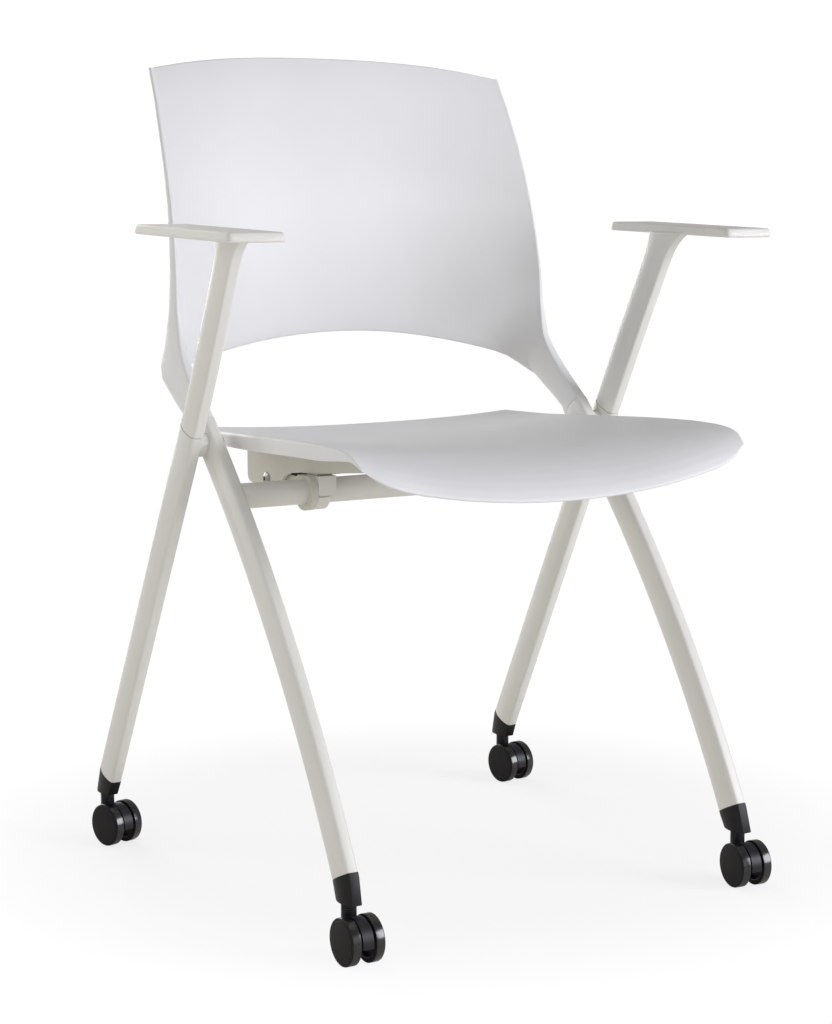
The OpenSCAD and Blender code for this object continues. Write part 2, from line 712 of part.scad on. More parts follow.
saddle_x = collar_x - collar_w - rest_gap;
saddle_w = 19.5;
saddle_hook_w = 13.5;
saddle_slot = 1.6;
saddle_slot_in = 3;
saddle_r = tube_d / 2 + collar_wall * 0.95;
saddle_top_z = 413.3;
module tube_saddle(side) {
  color(frame_white)
    scale([side, 1, 1])
      difference() {
        union() {
          translate([saddle_x - saddle_hook_w, tube_y, tube_z])
            rotate([90, 0, 90])
              linear_extrude(saddle_hook_w)
                intersection() {
                  circle(r = saddle_r);
                  translate([-2 * saddle_r, -2 * saddle_r])
                    square([2 * saddle_r + tube_d / 10, 2 * saddle_r + saddle_top_z - tube_z]);
                }
          translate([saddle_x - saddle_w, tube_y - saddle_r, tube_z - tube_d / 8])
            cube([saddle_w, saddle_r + tube_d / 4, saddle_top_z - tube_z + tube_d / 8]);
        }
        translate([0, tube_y, tube_z])
          tube_x(tube_d / 2 + fit_gap / 2, saddle_x - saddle_w - over, saddle_x + over);
        // Mouth of the clip, seen as a thin slot below the block
        translate([saddle_x - saddle_w - over, tube_y - saddle_r - over, tube_z - tube_d / 8 - saddle_slot])
          cube([saddle_w + 2 * over, over + saddle_slot_in, saddle_slot]);
        translate([0, tube_y, tube_z])
          rotate([90, 0, 90])
            linear_extrude(rail_x)
              polygon([[0, tube_d / 4], [saddle_r, -tube_d], [saddle_r * 2, 0], [saddle_r, tube_d / 3]]);
      }
}

// Seat

// Side edges of the seat from rear to front: place as a share of the reach from the rear edge to
// the front edge, half width share, edge height below its front height as a share of the seat drop
seat_l = seat_rear_y + seat_front_y;
side_shares = [
  [0, 0.850, 0.196], [0.03, 0.872, 0.2], [0.08, 0.886, 0.2], [0.16, 0.902, 0.194],
  [0.325, 0.935, 0.130], [0.58, 0.981, 0.044], [0.753, 0.998, 0.004], [0.88, 1.0, 0]
];
// Dish in the middle, from rear to front, as shares of its greatest depth
dish_shares = [[0, 0.36], [0.1, 0.6], [0.24, 0.9], [0.4, 1.0], [0.6, 0.98], [0.753, 1.0]];
roll_share = 0.753;
roll_turn = 75;
corner_rise_share = 0.46;
corner_back = 11;
dish_power = 2.4;
// Cut of the front corners: share of the bend, its power across and the draw-in of the sides
corner_cut = 0.18;
corner_power = 10;
corner_draw = 0.012;
seat_columns = 22;
seat_flat_rows = 9;
seat_roll_rows = 8;

function side_w(q) = seat_half_w * smooth_at(side_shares, 1, q) - seat_edge_r;
function side_z(q) = seat_edge_z - seat_drop * smooth_at(side_shares, 2, q);
function flat_z(s, q) = side_z(q) - seat_dish * smooth_at(dish_shares, 1, q) * (1 - pow(abs(s), dish_power));
// Half width along the front bend: full until past the middle of the bend, then drawn in to the corner
function roll_w(f) = side_w(roll_share) * (1 - corner_draw * pow(f, 6));
function seat_point(s, q, f) =
  f <= 0 ? [s * side_w(q), seat_rear_y - q * seat_l, flat_z(s, q)] :
  let (
    a = roll_turn * f * (1 - corner_cut * pow(abs(s), corner_power)),
    run = seat_l * (1 - roll_share) - corner_back * s * s,
    z0 = flat_z(s, roll_share),
    z1 = seat_edge_z - seat_drop * (1 - corner_rise_share * s * s)
  )
  [
    s * roll_w(f),
    seat_rear_y - roll_share * seat_l - run * sin(a) / sin(roll_turn),
    z0 - (z0 - z1) * pow((1 - cos(a)) / (1 - cos(roll_turn)), 1 + pow(s, 4))
  ];
seat_rows = concat(
  [for (k = [0 : seat_flat_rows]) [roll_share * k / seat_flat_rows, 0]],
  [for (k = [1 : seat_roll_rows]) [roll_share, k / seat_roll_rows]]
);
last_row = len(seat_rows) - 1;
function seat_row_point(s, i) = seat_point(s, seat_rows[i][0], seat_rows[i][1]);
// Skirt depth and edge rounding fade out round the front corner
function skirt_fade(i) = (1 - 0.95 * pow(seat_rows[i][1], 1.4)) * (0.8 + 0.2 * min(1, seat_rows[i][0] * 3));
function edge_r(i) = seat_edge_r * max(skirt_fade(i), 0.4);
function lip_t(i) = seat_t * (1 - 0.25 * pow(seat_rows[i][1], 2));
// Points of the side edge and skirt, each by its distance out and down from the top's edge: over the
// rounding in the first steps, then down the skirt. The inner ones follow at the wall's thickness,
// and lie flat under the edge where the skirt has faded out.
skirt_steps = 5;
skirt_t = 3.2;
function outer_step(i, k) =
  let (e = edge_r(i), h = max(skirt_h * skirt_fade(i), lip_t(i)), a = min(k, 3) * 30)
  [e * sin(a), k < 4 ? min(e, h) * (1 - cos(a)) : h - (skirt_steps - k) * (h - min(e, h)) / 2];
function inner_step(i, k) =
  let (
    e = edge_r(i), t = lip_t(i), h = max(skirt_h * skirt_fade(i), t),
    wall = [e - skirt_t, t + (h - t) * k / skirt_steps],
    flat = [(e + skirt_t) * k / skirt_steps - skirt_t, t],
    w = ease((skirt_fade(i) - 0.3) / 0.4)
  )
  wall * w + flat * (1 - w);
function edge_out(i, side) =
  let (a = seat_row_point(side, min(i + 1, last_row)) - seat_row_point(side, max(i - 1, 0)))
  unit([-a[1], a[0], 0]) * side;
function skirt_point(i, side, step) = seat_row_point(side, i) + edge_out(i, side) * step[0] - [0, 0, step[1]];
// Columns crowd towards the sides
function seat_across(c) = let (u = 1 - 2 * c / seat_columns) u * (3 - u * u) / 2;
seat_top_grid = [for (c = [0 : seat_columns]) [for (i = [0 : last_row]) seat_row_point(seat_across(c), i)]];
seat_under_grid = [for (c = [0 : seat_columns]) [for (i = [0 : last_row])
  c == 0 ? skirt_point(i, 1, inner_step(i, 0)) :
  c == seat_columns ? skirt_point(i, -1, inner_step(i, 0)) :
  seat_top_grid[c][i] - lip_t(i) * grid_normal(seat_top_grid, c, i)]];
function outer_columns(side, ks) = [for (k = ks) [for (i = [0 : last_row]) skirt_point(i, side, outer_step(i, k))]];
function inner_columns(side, ks) = [for (k = ks) [for (i = [0 : last_row]) skirt_point(i, side, inner_step(i, k))]];
inward_steps = [for (k = [skirt_steps : -1 : 1]) k];
outward_steps = [for (k = [1 : skirt_steps]) k];
seat_outer_grid = concat(outer_columns(1, inward_steps), seat_top_grid, outer_columns(-1, outward_steps));
seat_inner_grid = concat(inner_columns(1, inward_steps), seat_under_grid, inner_columns(-1, outward_steps));

rail_rear_y = 122;
rail_front_y = -150;
rail_top_rear_z = 433;
rail_top_front_z = 440;
rail_deep_z = 393;
rail_round = 9;
rail_heel = 6;
// Underside of the rail, from behind the tube to its front end: shares of its length and depth
rail_l = rail_rear_y - rail_front_y;
rail_shares = [
  [0.7206, 0.225], [0.6985, 0.35], [0.6618, 0.4425], [0.5882, 0.5], [0.4301, 0.5875], [0.07, 0.85], [0, 0.925]
];
boss_places = [100, 12, -118];
boss_d = 13;
pilot_d = 3.6;
screw_d = 4.5;
function rail_top(y) =
  rail_top_front_z + (rail_top_rear_z - rail_top_front_z) * (y - rail_front_y) / (rail_rear_y - rail_front_y);
// Height of the seat's top surface over a point of the flat part
function seat_top(x, y) = let (q = (seat_rear_y - y) / seat_l) flat_z(x / side_w(q), q);

module seat_shell() {
  color(shell_white)
    difference() {
      union() {
        sheet(
          with_rims(seat_outer_grid, seat_inner_grid, 1),
          with_rims(seat_outer_grid, seat_inner_grid, -1)
        );
        for (side = [-1, 1])
          for (y = boss_places)
            translate([side * arm_mid_x, y, rail_top(y) + fit_gap])
              cylinder(r = boss_d / 2, h = seat_top(arm_mid_x, y) - rail_top(y) - seat_t / 2, $fn = 24);
      }
      for (side = [-1, 1])
        for (y = boss_places)
          translate([side * arm_mid_x, y, rail_top(y) - over])
            cylinder(r = pilot_d / 2, h = seat_top(arm_mid_x, y) - rail_top(y) - seat_t / 2 + over);
    }
}

function arc_points(c, r, from, to, n) = [for (k = [0 : n]) let (a = from + (to - from) * k / n) c + r * [cos(a), sin(a)]];
// Side of the rail: deep round the pivot, stepped up over the cross tube, slim towards the front
function rail_outline(inset, low) = concat(
  arc_points([rail_rear_y - rail_round - inset, rail_deep_z + rail_round - low], rail_round, 0, -90, 6),
  arc_points([rail_front_y + 0.78 * rail_l, rail_deep_z + rail_heel - low], rail_heel, -90, -120, 2),
  [for (p = rail_shares) [
    max(rail_front_y + inset, rail_front_y + p[0] * rail_l),
    rail_deep_z + p[1] * (rail_top_rear_z - rail_deep_z) - low
  ]],
  [[rail_front_y + inset, rail_top(rail_front_y) - inset],
    [rail_rear_y - inset, rail_top(rail_rear_y) - inset]]
);
module rail_solid(x0, x1, inset, low) {
  translate([x0, 0, 0])
    rotate([90, 0, 90])
      linear_extrude(x1 - x0) polygon(rail_outline(inset, low));
}
stop_l = 22;
module seat_rail(side) {
  color(frame_white)
    scale([side, 1, 1])
      difference() {
        union() {
          difference() {
            rail_solid(rail_x - rail_w, rail_x, 0, 0);
            rail_solid(rail_x - rail_w + rail_wall, rail_x - rail_wall, rail_wall, rail_round * 4);
          }
          // Stop that lands on the saddle
          translate([rail_x - rail_w + rail_wall / 2, tube_y - stop_l / 2, saddle_top_z + rest_gap])
            cube([rail_w - rail_wall, stop_l, rail_top(tube_y) - saddle_top_z - rest_gap - rail_wall / 2]);
        }
        translate([0, pivot_y, pivot_z])
          tube_x(pivot_d / 2 + fit_gap, rail_x - rail_w - over, rail_x + over);
        for (y = boss_places)
          translate([arm_mid_x, y, rail_top(y) - rail_wall * 2]) cylinder(r = screw_d / 2, h = rail_wall * 3);
        translate([rail_x - rail_w, tube_y - stop_l, saddle_top_z + rest_gap - rail_wall * 3])
          cube([rail_w * 2, stop_l * 2, rail_wall * 3]);
      }
}

screw_l = 8;
screw_head_d = 8;
screw_head_h = 2.4;
module seat_screws() {
  color(steel)
    for (side = [-1, 1])
      for (y = boss_places)
        translate([side * arm_mid_x, y, rail_top(y) - rail_wall]) {
          translate([0, 0, -fit_gap - screw_head_h])
            difference() {
              cylinder(r1 = screw_head_d / 2 * 0.8, r2 = screw_head_d / 2, h = screw_head_h);
              translate([0, 0, -over]) cylinder(r = screw_head_d / 5, h = screw_head_h / 2 + over, $fn = 6);
            }
          translate([0, 0, -fit_gap * 2]) cylinder(r = pilot_d / 2 - run_gap, h = screw_l);
        }
}

pivot_head_d = 13;
pivot_head_h = 3;
module pivot_bolts() {
  color(steel)
    for (side = [-1, 1])
      translate([side * rail_x, pivot_y, pivot_z])
        scale([side, 1, 1])
          difference() {
            union() {
              tube_x(pivot_d / 2, -rail_w - pivot_nut_h, fit_gap);
              translate([fit_gap, 0, 0])
                rotate([0, 90, 0])
                  rotate_extrude()
                    polygon([
                      [0, 0], [pivot_head_d / 2, 0], [pivot_head_d / 2, pivot_head_h / 3],
                      [pivot_head_d / 4, pivot_head_h], [0, pivot_head_h]
                    ]);
            }
            translate([pivot_head_h / 3, 0, 0])
              rotate([0, 90, 0]) cylinder(r = pivot_d / 4, h = pivot_head_h, $fn = 6);
          }
}
pivot_nut_h = 5;
pivot_nut_w = 13;
module pivot_nuts() {
  color(steel)
    for (side = [-1, 1])
      translate([side * (rail_x - rail_w), pivot_y, pivot_z])
        scale([side, 1, 1])
          difference() {
            translate([-pivot_nut_h - fit_gap, 0, 0])
              rotate([0, 90, 0]) cylinder(r = pivot_nut_w / 2 / cos(30), h = pivot_nut_h, $fn = 6);
            tube_x(pivot_d / 2 + run_gap, -rail_w, over);
          }
}

// Casters: number 0 to 3 is front right, front left, rear right, rear left

function caster_side(n) = n % 2 == 0 ? -1 : 1;
function caster_at(n) = n < 2 ? -1 : 1;
function caster_plane(at) = (at < 0 ? front_plane : rear_plane + splay_out) + stem_out;
module at_caster(n) {
  translate([caster_side(n) * caster_plane(caster_at(n)), caster_at(n) * wheelbase / 2, 0])
    rotate([0, 0, swivel[n]])
      children();
}
axle_d = 6;
axle_in = 6.5;
hood_w = 11.2;
hood_r = 21;
hood_wall = 3.2;
hood_web = 5;
neck_d = wheel_gap - wheel_w - 2 * rest_gap;
neck_groove = 0.8;
neck_rings = 5;
// Hood, from behind the neck over the front to this far below the axle's level, in degrees
hood_back = 62;
hood_front = 190;

module hood_sector(r) {
  polygon(concat([[0, 0]], arc_points([0, 0], r * 1.5, hood_back, hood_front, 12)));
}
module caster_body(n) {
  color(black)
    at_caster(n)
      difference() {
        union() {
          translate([-hood_w / 2, -trail, wheel_d / 2])
            rotate([90, 0, 90]) {
              linear_extrude(hood_w)
                intersection() {
                  difference() {
                    circle(r = hood_r);
                    circle(r = hood_r - hood_wall);
                  }
                  hood_sector(hood_r);
                }
              translate([0, 0, (hood_w - hood_web) / 2])
                linear_extrude(hood_web)
                  intersection() {
                    circle(r = hood_r - hood_wall / 2);
                    hood_sector(hood_r);
                  }
              translate([0, 0, -run_gap])
                cylinder(r = axle_d, h = hood_w + 2 * run_gap);
            }
          neck();
        }
        translate([0, 0, neck_base])
          cylinder(r = stem_d / 2 + run_gap, h = foot_bottom_z);
        translate([0, -trail, wheel_d / 2])
          tube_x(axle_d / 2 + fit_gap / 4, -hood_w, hood_w);
      }
}
neck_low = 27;
neck_base = 33;
// Neck with ring grooves below the foot
module neck() {
  top = foot_bottom_z - rest_gap;
  r = neck_d / 2;
  g = neck_groove;
  rotate_extrude()
    polygon(concat(
      [[0, neck_low], [r, neck_low]],
      [for (k = [neck_rings : -1 : 1]) for (q = [[0, 1], [g, 0.7], [g, 0.3], [0, 0]])
        [r - q[0], top - (2.5 * (k - 1) + 1 + q[1]) * g]],
      [[r, top - g / 2], [r - g / 2, top], [0, top]]
    ));
}
module caster_stems() {
  color(steel)
    for (n = [0 : 3])
      at_caster(n)
        translate([0, 0, neck_base + rest_gap])
          rotate_extrude()
            polygon([
              [0, 0], [stem_d / 2 - over, 0], [stem_d / 2, over],
              [stem_d / 2, foot_bottom_z + socket_depth - neck_base - 2 * over],
              [stem_d / 2 - over, foot_bottom_z + socket_depth - neck_base - over],
              [0, foot_bottom_z + socket_depth - neck_base - over]
            ]);
}
module caster_axle(n) {
  color(steel)
    at_caster(n)
      translate([0, -trail, wheel_d / 2])
        tube_x(axle_d / 2, -wheel_gap / 2 + wheel_w / 2 - axle_in, wheel_gap / 2 - wheel_w / 2 + axle_in);
}
// Wheel with a flat tread, a slightly domed cover and a recess on its inner side
wheel_lip = 0.5;
module caster_wheel(n, end) {
  r = wheel_d / 2;
  w = wheel_w;
  color(black)
    at_caster(n)
      translate([end * (wheel_gap - wheel_w) / 2, -trail, wheel_d / 2])
        rotate([0, end * 90, 0])
          rotate_extrude($fn = 96)
            polygon([
              [axle_d / 2 + run_gap, 0], [axle_d, 0], [axle_d, w * 0.4], [r * 0.76, w * 0.4],
              [r * 0.76, wheel_lip], [r * 0.8, 0], [r * 0.97, 0], [r, wheel_lip], [r, w * 0.78],
              [r * 0.992, w * 0.83], [r * 0.97, w * 0.875], [r * 0.93, w * 0.905], [r * 0.9, w * 0.915],
              [r * 0.893, w * 0.9], [r * 0.886, w * 0.9], [r * 0.875, w * 0.93], [r * 0.7, w * 0.965],
              [r * 0.45, w * 0.99], [0, w], [0, axle_in + 2 * rest_gap],
              [axle_d / 2 + run_gap, axle_in + 2 * rest_gap]
            ]);
}

module placed() {
  translate([0, origin_y, 0]) children();
}

placed() front_leg(-1);  // front_leg_right
placed() front_leg(1);  // front_leg_left
placed() rear_leg(-1);  // rear_leg_right
placed() rear_leg(1);  // rear_leg_left
placed() cross_tube();
placed() hub_spacer(-1);  // hub_spacer_right
placed() hub_spacer(1);  // hub_spacer_left
placed() hub_bolts();
placed() hub_nuts();
placed() armrest(-1);  // armrest_right
placed() armrest(1);  // armrest_left
placed() back_shell();
placed() hinge_arm(-1);  // hinge_arm_right
placed() hinge_arm(1);  // hinge_arm_left
placed() hinge_bushes();
placed() tube_saddle(-1);  // tube_saddle_right
placed() tube_saddle(1);  // tube_saddle_left
placed() foot_front(-1);  // foot_front_right
placed() foot_front(1);  // foot_front_left
placed() foot_rear(-1);  // foot_rear_right
placed() foot_rear(1);  // foot_rear_left
placed() caster_stems();
placed() seat_shell();
placed() seat_rail(-1);  // seat_rail_right
placed() seat_rail(1);  // seat_rail_left
placed() seat_screws();
placed() pivot_bolts();
placed() pivot_nuts();
placed() caster_body(0);  // caster_fr_body
placed() caster_axle(0);  // caster_fr_axle
placed() caster_wheel(0, -1);  // caster_fr_wheel_a
placed() caster_wheel(0, 1);  // caster_fr_wheel_b
placed() caster_body(1);  // caster_fl_body
placed() caster_axle(1);  // caster_fl_axle
placed() caster_wheel(1, -1);  // caster_fl_wheel_a
placed() caster_wheel(1, 1);  // caster_fl_wheel_b
placed() caster_body(2);  // caster_rr_body
placed() caster_axle(2);  // caster_rr_axle
placed() caster_wheel(2, -1);  // caster_rr_wheel_a
placed() caster_wheel(2, 1);  // caster_rr_wheel_b
placed() caster_body(3);  // caster_rl_body
placed() caster_axle(3);  // caster_rl_axle
placed() caster_wheel(3, -1);  // caster_rl_wheel_a
placed() caster_wheel(3, 1);  // caster_rl_wheel_b
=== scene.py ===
"""Looks of a nesting chair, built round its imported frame.

The chair has a crossed frame of powder-coated tube, a moulded back shell and seat shell, moulded
armrests and black twin-wheel casters. The pieces whose facets or sharp edges would show get a skin
made from their own solid. The other solids keep their form and get a finish.
"""

from __future__ import annotations

import json
import logging
import math
from dataclasses import dataclass
from enum import Enum
from typing import Any, Dict, Iterable, List, Optional, Sequence, Tuple

import bpy
import numpy as np
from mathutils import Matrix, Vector

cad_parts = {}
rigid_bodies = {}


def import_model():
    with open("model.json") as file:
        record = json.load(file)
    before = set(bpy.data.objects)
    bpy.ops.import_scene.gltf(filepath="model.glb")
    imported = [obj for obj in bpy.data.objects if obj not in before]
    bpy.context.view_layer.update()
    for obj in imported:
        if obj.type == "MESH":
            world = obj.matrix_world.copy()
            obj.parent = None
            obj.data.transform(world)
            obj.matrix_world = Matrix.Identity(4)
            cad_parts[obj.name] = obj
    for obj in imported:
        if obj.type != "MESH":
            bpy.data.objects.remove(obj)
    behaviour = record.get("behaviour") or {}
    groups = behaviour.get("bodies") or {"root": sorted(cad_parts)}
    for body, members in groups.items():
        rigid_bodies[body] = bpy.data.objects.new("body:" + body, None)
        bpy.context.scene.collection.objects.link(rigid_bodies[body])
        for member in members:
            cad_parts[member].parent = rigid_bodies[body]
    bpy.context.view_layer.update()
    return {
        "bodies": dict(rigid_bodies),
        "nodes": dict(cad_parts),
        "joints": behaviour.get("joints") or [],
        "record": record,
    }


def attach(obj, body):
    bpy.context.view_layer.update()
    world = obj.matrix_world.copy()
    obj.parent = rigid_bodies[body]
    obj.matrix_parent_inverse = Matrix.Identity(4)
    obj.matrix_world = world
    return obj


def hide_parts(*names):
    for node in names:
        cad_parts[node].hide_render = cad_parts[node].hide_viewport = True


LOG = logging.getLogger("nesting_chair")
MM = 0.001
# The sitter's right and left, as signs of X
SIDES = (-1, 1)
# Points closer than this are one, and faces flatter than this angle are one
MERGE_MM = 0.01
FLAT_DEG = 0.4
# Tone and gloss of every finish drift over this length, in this part of the noise's range
DRIFT_MM = 90.0
DRIFT_LOW, DRIFT_HIGH = 0.3, 0.7


def linear_from_hex(code: str) -> Tuple[float, float, float, float]:
    """Turns an sRGB hex colour into linear light.

    Args:
        code: Six hex digits, with or without a leading hash.

    Returns:
        Red, green, blue and an alpha of one.
    """
    digits = code.lstrip("#")
    out: List[float] = []
    for i in (0, 2, 4):
        v = int(digits[i:i + 2], 16) / 255
        out.append(v / 12.92 if v <= 0.04045 else ((v + 0.055) / 1.055) ** 2.4)
    return out[0], out[1], out[2], 1.0


def add_node(tree: bpy.types.NodeTree, kind: str, settings: Optional[Dict[str, Any]] = None,
             values: Optional[Dict[Any, Any]] = None,
             links: Optional[Dict[Any, bpy.types.NodeSocket]] = None) -> bpy.types.Node:
    """Adds a shader node with its settings, input values and links.

    Args:
        tree: Tree that takes the node.
        kind: Node type, such as ShaderNodeBump.
        settings: Properties of the node itself.
        values: Values of unlinked inputs, by input name or number.
        links: Output sockets that feed inputs, by input name or number.

    Returns:
        The new node.
    """
    node = tree.nodes.new(kind)
    for name, value in (settings or {}).items():
        setattr(node, name, value)
    for key, value in (values or {}).items():
        node.inputs[key].default_value = value
    for key, socket in (links or {}).items():
        tree.links.new(socket, node.inputs[key])
    return node


def empty_tree(owner: Any) -> bpy.types.NodeTree:
    """Turns on the nodes of a material or world and empties its tree.

    Args:
        owner: The material or world.

    Returns:
        Its tree.
    """
    owner.use_nodes = True
    owner.node_tree.nodes.clear()
    return owner.node_tree


class Grain(Enum):
    """Small-scale form of a surface, with the detail and roughness of its noise."""

    ORANGE_PEEL = (1.0, 0.4)
    SPARK_ERODED = (4.0, 0.7)
    POLISHED_MOULD = (2.0, 0.5)
    # Zinc's crystals are cells, not noise
    TUMBLED_ZINC = (0.0, 0.0)


@dataclass(frozen=True)
class Finish:
    """A material as the real piece is made.

    Attributes:
        name: Name of the material in the file.
        colour: Main colour, sRGB hex.
        shade: Second colour that the first drifts to over the piece, sRGB hex.
        roughness: Mean roughness.
        roughness_swing: How far the roughness moves either way.
        grain: Form of the surface.
        grain_mm: Distance between the grains, as drawn.
        grain_depth_mm: Height of the grains, as drawn.
        metallic: One for bare metal.
        ior: Index of refraction, for plastics and paint.
        sheen: Specular level, one half being plain.
    """

    name: str
    colour: str
    shade: str
    roughness: float
    roughness_swing: float
    grain: Grain
    grain_mm: float
    grain_depth_mm: float
    metallic: float = 0.0
    ior: float = 1.5
    sheen: float = 0.5

    def material(self) -> bpy.types.Material:
        """Makes the material, or finds it where it is there already.

        Returns:
            The material.
        """
        found = bpy.data.materials.get(self.name)
        if found is not None:
            return found
        mat = bpy.data.materials.new(self.name)
        tree = empty_tree(mat)
        place = add_node(tree, "ShaderNodeTexCoord").outputs["Object"]
        drift = add_node(tree, "ShaderNodeTexNoise", {"noise_dimensions": "3D"},
                         {"Scale": 1 / (DRIFT_MM * MM), "Detail": 3.0, "Roughness": 0.55},
                         {"Vector": place}).outputs["Fac"]
        tone = add_node(tree, "ShaderNodeValToRGB", links={"Fac": drift})
        for stop, position, code in zip(tone.color_ramp.elements, (DRIFT_LOW, DRIFT_HIGH),
                                        (self.shade, self.colour)):
            stop.position = position
            stop.color = linear_from_hex(code)
        gloss = add_node(tree, "ShaderNodeMapRange",
                         values={"From Min": DRIFT_LOW, "From Max": DRIFT_HIGH,
                                 "To Min": self.roughness - self.roughness_swing,
                                 "To Max": self.roughness + self.roughness_swing},
                         links={"Value": drift})
        shader = add_node(tree, "ShaderNodeBsdfPrincipled",
                          values={"Metallic": self.metallic, "Specular IOR Level": self.sheen},
                          links={"Base Color": tone.outputs["Color"],
                                 "Roughness": gloss.outputs["Result"],
                                 "Normal": self.surface_grain(tree, place)})
        if not self.metallic:
            shader.inputs["IOR"].default_value = self.ior
        add_node(tree, "ShaderNodeOutputMaterial", links={"Surface": shader.outputs["BSDF"]})
        return mat

    def surface_grain(self, tree: bpy.types.NodeTree,
                      place: bpy.types.NodeSocket) -> bpy.types.NodeSocket:
        """Adds the nodes of the grain.

        Args:
            tree: Tree of the material.
            place: Object coordinates.

        Returns:
            The normal that the shader takes.
        """
        scale = 1 / (self.grain_mm * MM)
        if self.grain is Grain.TUMBLED_ZINC:
            height = add_node(tree, "ShaderNodeTexVoronoi", {"feature": "F1"}, {"Scale": scale},
                              {"Vector": place}).outputs["Distance"]
        else:
            detail, roughness = self.grain.value
            height = add_node(tree, "ShaderNodeTexNoise", {"noise_dimensions": "3D"},
                              {"Scale": scale, "Detail": detail, "Roughness": roughness},
                              {"Vector": place}).outputs["Fac"]
        bump = add_node(tree, "ShaderNodeBump",
                        values={"Strength": 1.0, "Distance": self.grain_depth_mm * MM},
                        links={"Height": height})
        return bump.outputs["Normal"]


# Epoxy-polyester powder coat, sprayed and baked: satin, with a soft orange peel in its highlights
POWDER_COAT = Finish("powder_coat_off_white", "#E1E0DC", "#DDDCD7", 0.38, 0.03,
                     Grain.ORANGE_PEEL, 2.2, 0.010)
# The same powder on pressed brackets, darker and warmer than the tubes': partly a batch of its own,
# partly painted shade of the shadow under the seat
BRACKET_COAT_WITH_PAINTED_SHADE = Finish("powder_coat_warm_grey_painted_shade", "#D0CEC4", "#CBC9BF", 0.42, 0.03,
                      Grain.ORANGE_PEEL, 2.2, 0.010)
# Glass-filled nylon, moulded in the frame's colour: a little duller than the paint beside it
MOULDED_NYLON = Finish("moulded_nylon_off_white", "#E1E0DC", "#DEDDD8", 0.44, 0.03,
                       Grain.SPARK_ERODED, 0.9, 0.005)
# Polypropylene, moulded against a fine spark-eroded tool: near-white with a dim sheen
MOULDED_SHELL = Finish("moulded_polypropylene_near_white", "#E3E3E4", "#E0E0E1", 0.46, 0.02,
                       Grain.SPARK_ERODED, 0.8, 0.005)
# Black nylon of the caster hoods, moulded: satin with a faint grain and a blue cast
HOOD_NYLON = Finish("moulded_nylon_blue_black", "#1B1B23", "#17171E", 0.38, 0.05,
                    Grain.SPARK_ERODED, 0.7, 0.006, ior=1.42)
# Black nylon of the feet and bushes, from another tool: deeper and a little duller
FOOT_NYLON = Finish("moulded_nylon_black", "#0F0F12", "#0C0C0F", 0.44, 0.05,
                    Grain.SPARK_ERODED, 0.7, 0.006, ior=1.36)
# Black nylon of the wheels' covers: dull
WHEEL_NYLON = Finish("wheel_nylon_black", "#131316", "#0F0F11", 0.46, 0.04,
                     Grain.POLISHED_MOULD, 3.0, 0.006, sheen=0.2)
# Black nylon of the treads, from a polished tool: they catch the softbox
TREAD_NYLON = Finish("tread_nylon_black", "#131316", "#0F0F11", 0.2, 0.02,
                     Grain.POLISHED_MOULD, 3.0, 0.006, sheen=0.8)
# Zinc-plated steel of bolts, screws, axles and stems: pale grey metal, slightly mottled
ZINC_STEEL = Finish("zinc_plated_steel", "#B9BABC", "#A9ABAE", 0.3, 0.06,
                    Grain.TUMBLED_ZINC, 0.6, 0.003, metallic=1.0)

SLOT_FINISH: Dict[str, Finish] = {
    "frame_paint": POWDER_COAT,
    "bracket_paint": BRACKET_COAT_WITH_PAINTED_SHADE,
    "saddle_plastic": MOULDED_NYLON,
    "armrest_plastic": MOULDED_NYLON,
    "back_plastic": MOULDED_SHELL,
    "seat_plastic": MOULDED_SHELL,
    "foot_plastic": FOOT_NYLON,
    "caster_plastic": HOOD_NYLON,
    "wheel_plastic": WHEEL_NYLON,
    "bush_plastic": FOOT_NYLON,
    "hardware_steel": ZINC_STEEL,
}


def dress(obj: bpy.types.Object, finish: Finish) -> None:
    """Gives an object one finish.

    Args:
        obj: Object to dress.
        finish: Finish of all its faces.
    """
    obj.data.materials.clear()
    obj.data.materials.append(finish.material())


def dress_bare_solids(frame: Dict[str, Any], skinned: Iterable[str]) -> int:
    """Dresses the frame's solids that keep their own form, by the record's slots.

    Args:
        skinned: Nodes that skins stand for.

    Returns:
        How many nodes were dressed.
    """
    slots = {s["node"]: s["material_slot"] for s in frame["record"]["subparts"]}
    left_out = set(skinned)
    bare = [name for name in frame["nodes"] if name not in left_out]
    for name in bare:
        dress(frame["nodes"][name], SLOT_FINISH[slots[name]])
    return len(bare)


def apply_modifier(obj: bpy.types.Object, kind: str, **settings: Any) -> None:
    """Adds a modifier to the active object and applies it.

    Args:
        obj: The object.
        kind: Modifier type, such as BEVEL.
        **settings: Properties of the modifier.
    """
    modifier = obj.modifiers.new(kind.lower(), kind)
    for name, value in settings.items():
        setattr(modifier, name, value)
    bpy.ops.object.modifier_apply(modifier=modifier.name)


def relax_near(obj: bpy.types.Object, places: Sequence[Vector], reach_mm: float, repeat: int,
               in_plan: bool = False) -> None:
    """Relaxes an active object's points near some places, less and less towards the reach.

    Args:
        obj: The object.
        places: The places.
        reach_mm: Distance up to which points move.
        repeat: How often the points are relaxed.
        in_plan: Whether points keep their heights, and distances are taken in plan.
    """
    group = obj.vertex_groups.new(name="relaxed")
    counted = Vector((1.0, 1.0, 0.0 if in_plan else 1.0))
    for vertex in obj.data.vertices:
        nearest = min(((vertex.co - place) * counted).length for place in places)
        share = 1.0 - nearest / (reach_mm * MM)
        if share > 0.0:
            # Smoothstep, so the relaxing ends without a crease
            group.add([vertex.index], share * share * (3.0 - 2.0 * share), "REPLACE")
    apply_modifier(obj, "SMOOTH", factor=0.5, iterations=repeat, use_z=not in_plan,
                   vertex_group=group.name)
    obj.vertex_groups.clear()


